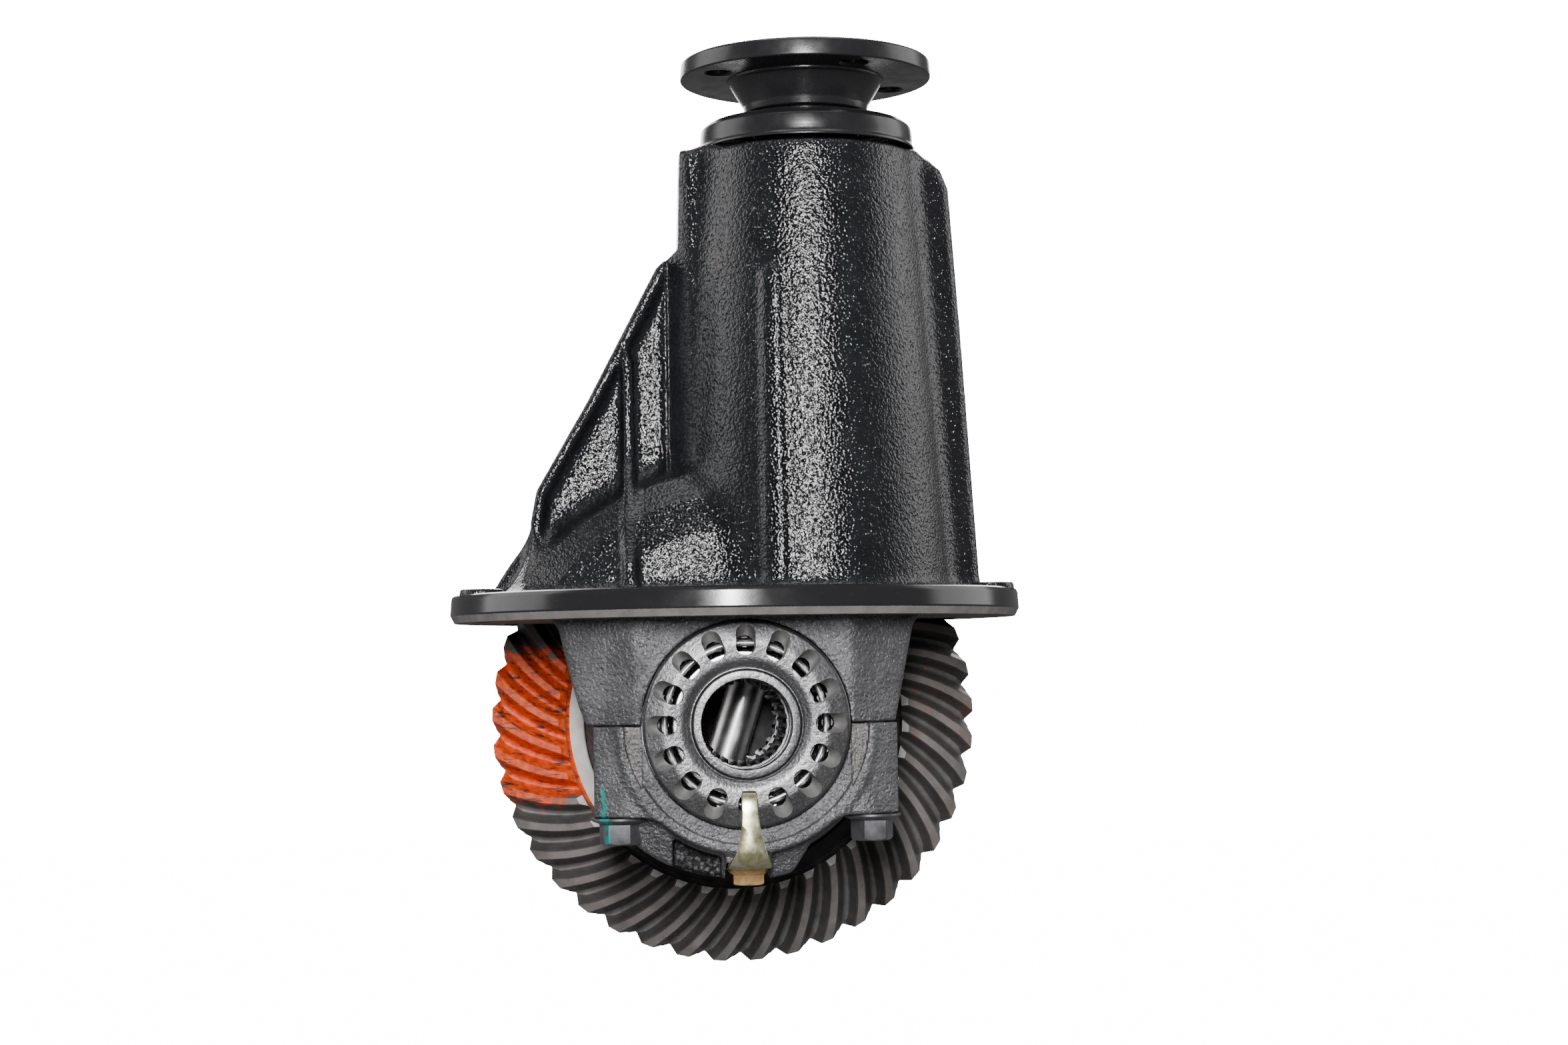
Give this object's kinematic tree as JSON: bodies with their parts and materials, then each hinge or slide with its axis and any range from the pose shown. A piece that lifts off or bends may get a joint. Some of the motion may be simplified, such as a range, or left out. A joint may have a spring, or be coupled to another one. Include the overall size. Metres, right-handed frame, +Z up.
{
  "type": "differential gear assembly",
  "caption": "Hypoid rear-axle differential: cast carrier with round mounting flange, pinion with companion flange, ring gear on a bevel gear case, and side bearings with slotted adjusters.",
  "frame": {"origin": "centre of the mounting flange's gasket face", "axes": "+Z up the pinion axis towards the companion flange, axle axis along Y with the ring gear on the +Y side, pinion axis offset towards +X"},
  "size_m": [0.23, 0.23, 0.3689],
  "materials": {
    "black_paint": "gloss",
    "satin_black": "satin",
    "cast_iron": "matte",
    "adjuster_steel": "satin",
    "black_oxide": "satin",
    "case_iron": "satin",
    "bearing_steel": "polished",
    "cage_steel": "satin",
    "bolt_dark": "satin",
    "yellow_zinc": "satin",
    "copper_zinc": "satin",
    "gear_steel": "satin",
    "shaft_steel": "polished",
    "seal_rubber": "matte",
    "bronze": "satin"
  },
  "bodies": {
    "carrier": {"carrier_housing": "black_paint", "bearing_cap_front": "cast_iron", "bearing_cap_rear": "cast_iron", "cap_bolt_front_left": "bolt_dark", "cap_bolt_front_right": "bolt_dark", "cap_bolt_rear_left": "bolt_dark", "cap_bolt_rear_right": "bolt_dark", "bearing_adjuster_front": "adjuster_steel", "bearing_adjuster_rear": "adjuster_steel", "adjuster_lock_front": "yellow_zinc", "adjuster_lock_rear": "yellow_zinc", "lock_bolt_front": "copper_zinc", "lock_bolt_rear": "copper_zinc", "side_bearing_cup_front": "bearing_steel", "side_bearing_cup_rear": "bearing_steel", "head_bearing_cup": "bearing_steel", "tail_bearing_cup": "bearing_steel", "pinion_oil_seal": "seal_rubber"},
    "case_group": {"differential_case": "case_iron", "ring_gear": "black_oxide", "ring_gear_bolt_1": "bolt_dark", "ring_gear_bolt_2": "bolt_dark", "ring_gear_bolt_3": "bolt_dark", "ring_gear_bolt_4": "bolt_dark", "ring_gear_bolt_5": "bolt_dark", "ring_gear_bolt_6": "bolt_dark", "ring_gear_bolt_7": "bolt_dark", "ring_gear_bolt_8": "bolt_dark", "ring_gear_bolt_9": "bolt_dark", "ring_gear_bolt_10": "bolt_dark", "cross_shaft": "shaft_steel", "cross_shaft_pin": "shaft_steel", "side_bearing_cone_front": "bearing_steel", "side_bearing_cone_rear": "bearing_steel", "side_gear_washer_front": "bronze", "side_gear_washer_rear": "bronze", "spider_washer_upper": "bronze", "spider_washer_lower": "bronze"},
    "pinion_group": {"drive_pinion": "gear_steel", "companion_flange": "satin_black", "dust_deflector": "satin_black", "pinion_nut": "bolt_dark", "pinion_washer": "bolt_dark", "oil_slinger": "cage_steel", "crush_sleeve": "cage_steel", "pinion_shim": "bearing_steel", "head_bearing_cone": "bearing_steel", "tail_bearing_cone": "bearing_steel"},
    "front_side_rollers": {"side_bearing_rollers_front": "cage_steel"},
    "rear_side_rollers": {"side_bearing_rollers_rear": "cage_steel"},
    "head_rollers": {"head_bearing_rollers": "cage_steel"},
    "tail_rollers": {"tail_bearing_rollers": "cage_steel"},
    "front_output": {"side_gear_front": "gear_steel"},
    "rear_output": {"side_gear_rear": "gear_steel", "bore_plug_rear": "cage_steel"},
    "upper_spider": {"spider_gear_upper": "gear_steel"},
    "lower_spider": {"spider_gear_lower": "gear_steel"}
  },
  "joints": [
    {"name": "ring_spin", "type": "hinge", "parent": "carrier", "child": "case_group", "pos_m": [0, 0, -0.0405], "axis": [0, 1, 0], "continuous": true},
    {"name": "pinion_spin", "type": "hinge", "parent": "carrier", "child": "pinion_group", "pos_m": [0.032, 0, 0], "axis": [0, 0, 1], "continuous": true},
    {"name": "front_side_cage_spin", "type": "hinge", "parent": "carrier", "child": "front_side_rollers", "pos_m": [0, 0, -0.0405], "axis": [0, 1, 0], "continuous": true},
    {"name": "rear_side_cage_spin", "type": "hinge", "parent": "carrier", "child": "rear_side_rollers", "pos_m": [0, 0, -0.0405], "axis": [0, 1, 0], "continuous": true},
    {"name": "head_cage_spin", "type": "hinge", "parent": "carrier", "child": "head_rollers", "pos_m": [0.032, 0, 0], "axis": [0, 0, 1], "continuous": true},
    {"name": "tail_cage_spin", "type": "hinge", "parent": "carrier", "child": "tail_rollers", "pos_m": [0.032, 0, 0], "axis": [0, 0, 1], "continuous": true},
    {"name": "front_output_spin", "type": "hinge", "parent": "case_group", "child": "front_output", "pos_m": [0, 0, -0.0405], "axis": [0, 1, 0], "continuous": true},
    {"name": "rear_output_spin", "type": "hinge", "parent": "case_group", "child": "rear_output", "pos_m": [0, 0, -0.0405], "axis": [0, 1, 0], "continuous": true},
    {"name": "upper_spider_spin", "type": "hinge", "parent": "case_group", "child": "upper_spider", "pos_m": [0, 0, -0.0405], "axis": [0.309, 0, 0.9511], "continuous": true},
    {"name": "lower_spider_spin", "type": "hinge", "parent": "case_group", "child": "lower_spider", "pos_m": [0, 0, -0.0405], "axis": [0.309, 0, 0.9511], "continuous": true}
  ],
  "couplings": [
    {"joint": "pinion_spin", "follows": "ring_spin", "ratio": -4.1},
    {"joint": "front_side_cage_spin", "follows": "ring_spin", "ratio": 0.45},
    {"joint": "rear_side_cage_spin", "follows": "ring_spin", "ratio": 0.45},
    {"joint": "head_cage_spin", "follows": "ring_spin", "ratio": -1.78},
    {"joint": "tail_cage_spin", "follows": "ring_spin", "ratio": -1.84},
    {"joint": "rear_output_spin", "follows": "front_output_spin", "ratio": -1},
    {"joint": "upper_spider_spin", "follows": "front_output_spin", "ratio": 1.6},
    {"joint": "lower_spider_spin", "follows": "front_output_spin", "ratio": -1.6}
  ]
}
